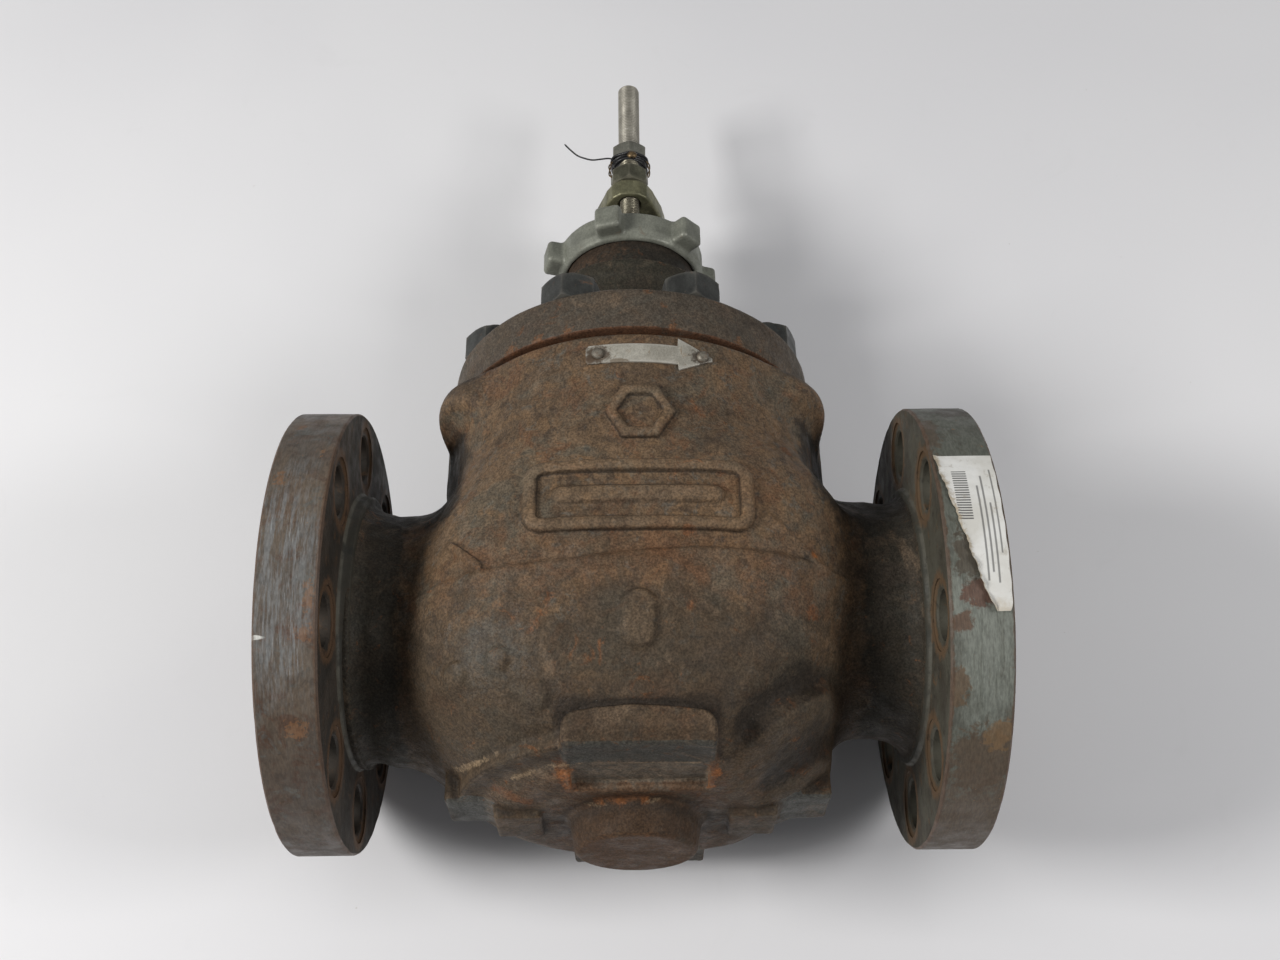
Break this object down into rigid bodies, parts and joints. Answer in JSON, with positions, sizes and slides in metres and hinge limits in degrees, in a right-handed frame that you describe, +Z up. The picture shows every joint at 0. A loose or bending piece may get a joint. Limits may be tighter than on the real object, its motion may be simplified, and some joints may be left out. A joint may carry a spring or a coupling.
{
  "type": "flanged globe control valve",
  "caption": "Globe-style control valve body with raised-face flanged ends, bolted bonnet, cage and plug trim, packed sliding stem and yoke locknut, without its actuator.",
  "frame": {"origin": "centre of the bottom boss's flat face, on the stem axis, 110 mm below the flow axis", "axes": "+X along the flow from inlet to outlet, +Z up the stem, -Y towards the side that carries the flow plate"},
  "size_m": [0.3174, 0.2101, 0.472],
  "materials": {
    "body_casting": "rough sand casting, brown rust over dark grey primer, worn paint on the flanges",
    "bonnet_casting": "rough casting with brown rust",
    "dark_steel": "dark oxidised steel fasteners",
    "zinc_steel": "dull zinc plate with light corrosion",
    "yellow_zinc": "yellow-green zinc chromate plate, worn",
    "stainless": "turned stainless steel with brown staining",
    "hardened_trim": "ground hardened stainless trim",
    "graphite": "pressed graphite",
    "white_ring": "smooth white PTFE",
    "felt": "pressed felt",
    "black_wire": "black coated wire",
    "aluminium_plate": "dull stamped sheet with dirt",
    "paper_label": "printed paper label, scuffed"
  },
  "bodies": {
    "valve": {"valve_body": "body_casting", "bonnet": "bonnet_casting", "body_stud_1": "dark_steel", "body_stud_2": "dark_steel", "body_stud_3": "dark_steel", "body_stud_4": "dark_steel", "body_stud_5": "dark_steel", "body_stud_6": "dark_steel", "body_stud_7": "dark_steel", "body_stud_8": "dark_steel", "body_nut_1": "dark_steel", "body_nut_2": "dark_steel", "body_nut_3": "dark_steel", "body_nut_4": "dark_steel", "body_nut_5": "dark_steel", "body_nut_6": "dark_steel", "body_nut_7": "dark_steel", "body_nut_8": "dark_steel", "bonnet_gasket": "graphite", "seat_gasket": "graphite", "seat_ring": "hardened_trim", "cage": "hardened_trim", "packing_box_ring": "stainless", "packing_ring_1": "white_ring", "packing_ring_2": "white_ring", "packing_ring_3": "white_ring", "packing_ring_4": "white_ring", "packing_ring_5": "white_ring", "packing_ring_6": "white_ring", "lantern_ring": "stainless", "felt_wiper": "felt", "packing_follower": "stainless", "packing_flange": "yellow_zinc", "packing_stud_front": "zinc_steel", "packing_stud_rear": "zinc_steel", "packing_nut_front": "zinc_steel", "packing_nut_rear": "zinc_steel", "yoke_locknut": "zinc_steel", "flow_arrow_plate": "aluminium_plate", "flow_plate_screw_1": "dark_steel", "flow_plate_screw_2": "dark_steel", "rim_label": "paper_label"},
    "stem_plug": {"valve_stem": "stainless", "valve_plug": "hardened_trim", "plug_pin": "stainless", "piston_ring": "graphite", "stem_jam_nut_lower": "dark_steel", "stem_jam_nut_upper": "zinc_steel", "tag_wire": "black_wire"}
  },
  "joints": [
    {"name": "stem_travel", "type": "slide", "parent": "valve", "child": "stem_plug", "axis": [0, 0, 1], "range_m": [0, 0.0381]}
  ]
}
